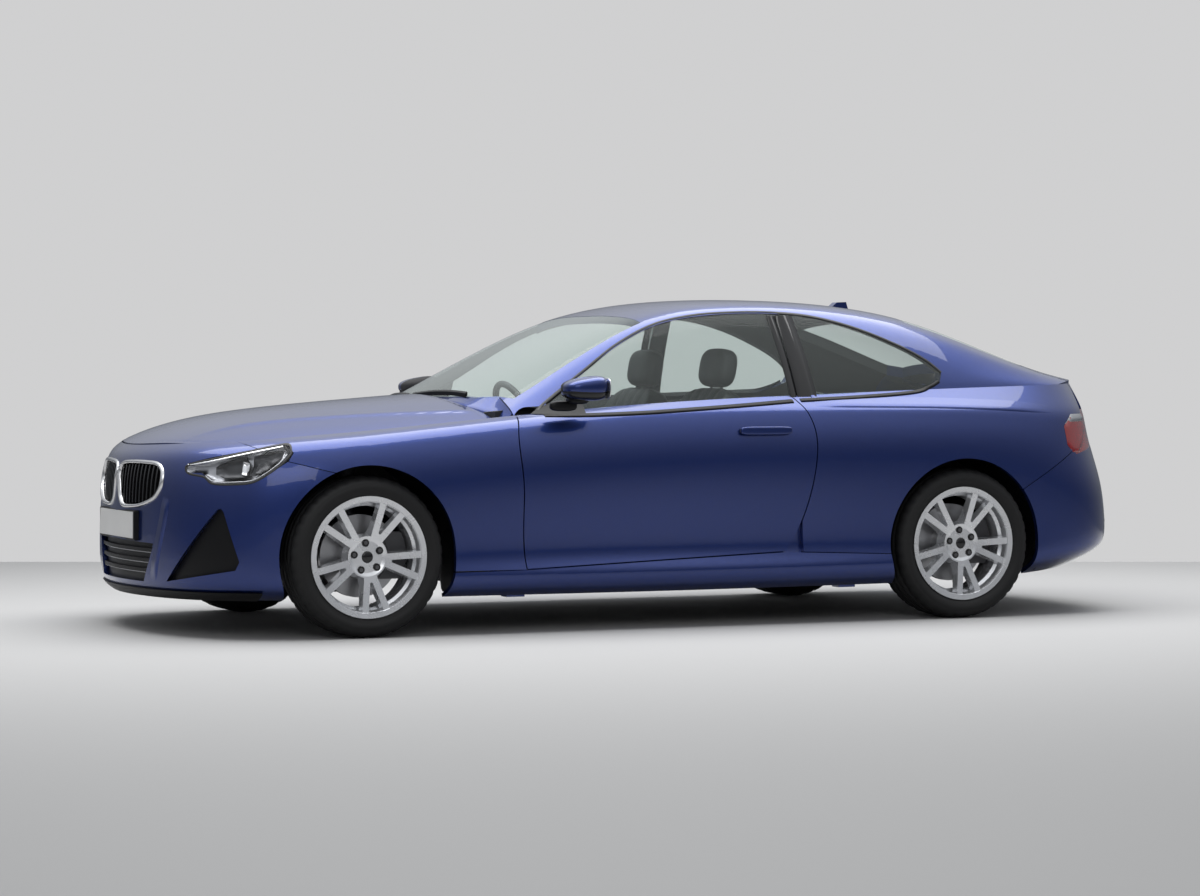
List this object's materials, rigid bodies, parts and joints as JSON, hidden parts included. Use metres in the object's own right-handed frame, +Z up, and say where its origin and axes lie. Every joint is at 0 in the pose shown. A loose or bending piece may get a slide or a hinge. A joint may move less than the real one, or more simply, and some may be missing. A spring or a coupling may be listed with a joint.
{
  "type": "two-door coupe car",
  "caption": "Two-door coupe with opening doors, bonnet and boot lid, steered front wheels, free-rolling wheels, hollow cabin and glazed windows.",
  "frame": {"origin": "on the ground under the middle of the car's bounding box", "axes": "+X towards the tail, +Y to the car's right, +Z up"},
  "size_m": [4.5454, 2.07, 1.3928],
  "materials": {
    "paint": "gloss metallic",
    "black_plastic": "grained",
    "gloss_black": "gloss",
    "satin_trim": "satin",
    "window_glass": "clear, slightly green",
    "lamp_lens": "clear",
    "tail_lens": "gloss",
    "tyre_rubber": "matte",
    "rim_silver": "satin",
    "brake_iron": "ground",
    "chassis_steel": "coated",
    "under_panel": "satin",
    "engine_alloy": "cast",
    "seat_leather": "grained",
    "cabin_plastic": "grained"
  },
  "bodies": {
    "root": {"body_side_left": "paint", "body_side_right": "paint", "roof_panel": "paint", "front_fenders": "paint", "side_skirts": "paint", "front_bumper": "paint", "rear_bumper": "paint", "headlamps": "lamp_lens", "tail_lamps": "tail_lens", "grille_frames": "satin_trim", "grille_bars": "gloss_black", "intake_grilles": "black_plastic", "fixed_windows": "window_glass", "wheel_houses": "black_plastic", "floor_pan": "under_panel", "boot_floor": "under_panel", "front_rails": "under_panel", "engine_block": "engine_alloy", "fuel_tank": "black_plastic", "driveline": "chassis_steel", "front_subframe": "chassis_steel", "rear_subframe": "chassis_steel", "exhaust": "chassis_steel", "bumper_trims": "black_plastic", "front_seats": "seat_leather", "rear_bench": "seat_leather", "dashboard": "cabin_plastic", "roof_fin": "paint", "wipers": "black_plastic"},
    "door_left": {"door_left": "paint", "door_glass_left": "window_glass", "door_fittings_left": "paint"},
    "door_right": {"door_right": "paint", "door_glass_right": "window_glass", "door_fittings_right": "paint"},
    "bonnet": {"bonnet": "paint"},
    "boot_lid": {"boot_lid": "paint"},
    "steering_wheel": {"steering_wheel": "cabin_plastic"},
    "knuckle_left": {"knuckle_left": "chassis_steel"},
    "knuckle_right": {"knuckle_right": "chassis_steel"},
    "wheel_fl": {"rim_fl": "rim_silver", "tyre_fl": "tyre_rubber", "brake_disc_fl": "brake_iron"},
    "wheel_fr": {"rim_fr": "rim_silver", "tyre_fr": "tyre_rubber", "brake_disc_fr": "brake_iron"},
    "wheel_rl": {"rim_rl": "rim_silver", "tyre_rl": "tyre_rubber", "brake_disc_rl": "brake_iron"},
    "wheel_rr": {"rim_rr": "rim_silver", "tyre_rr": "tyre_rubber", "brake_disc_rr": "brake_iron"}
  },
  "joints": [
    {"name": "steer_left", "type": "hinge", "parent": "root", "child": "knuckle_left", "pos_m": [-1.4785, -0.712, 0.2], "axis": [0, 0.234, 0.9722], "range_deg": [-32, 32]},
    {"name": "steer_right", "type": "hinge", "parent": "root", "child": "knuckle_right", "pos_m": [-1.4785, 0.712, 0.2], "axis": [0, -0.234, 0.9722], "range_deg": [-32, 32]},
    {"name": "steering_wheel_turn", "type": "hinge", "parent": "root", "child": "steering_wheel", "pos_m": [-0.315, 0.37, 0.85], "axis": [0.9119, 0, 0.4104], "range_deg": [-448.5, 448.5]},
    {"name": "roll_front_left", "type": "hinge", "parent": "knuckle_left", "child": "wheel_fl", "pos_m": [-1.4785, -0.788, 0.326], "axis": [0, 1, 0], "continuous": true},
    {"name": "roll_front_right", "type": "hinge", "parent": "knuckle_right", "child": "wheel_fr", "pos_m": [-1.4785, 0.788, 0.326], "axis": [0, 1, 0], "continuous": true},
    {"name": "roll_rear_left", "type": "hinge", "parent": "root", "child": "wheel_rl", "pos_m": [1.2625, -0.788, 0.326], "axis": [0, 1, 0], "continuous": true},
    {"name": "roll_rear_right", "type": "hinge", "parent": "root", "child": "wheel_rr", "pos_m": [1.2625, 0.788, 0.326], "axis": [0, 1, 0], "continuous": true},
    {"name": "door_left_swing", "type": "hinge", "parent": "root", "child": "door_left", "pos_m": [-0.8205, -0.916, 0.6], "axis": [0, 0, -1], "range_deg": [0, 62]},
    {"name": "door_right_swing", "type": "hinge", "parent": "root", "child": "door_right", "pos_m": [-0.8205, 0.916, 0.6], "axis": [0, 0, 1], "range_deg": [0, 62]},
    {"name": "bonnet_lift", "type": "hinge", "parent": "root", "child": "bonnet", "pos_m": [-0.838, 0, 0.93], "axis": [0, 1, 0], "range_deg": [0, 50]},
    {"name": "boot_lid_lift", "type": "hinge", "parent": "root", "child": "boot_lid", "pos_m": [1.795, 0, 1.118], "axis": [0, -1, 0], "range_deg": [0, 75]}
  ],
  "couplings": [
    {"joint": "steer_right", "follows": "steer_left", "ratio": 1},
    {"joint": "steering_wheel_turn", "follows": "steer_left", "ratio": 14}
  ]
}
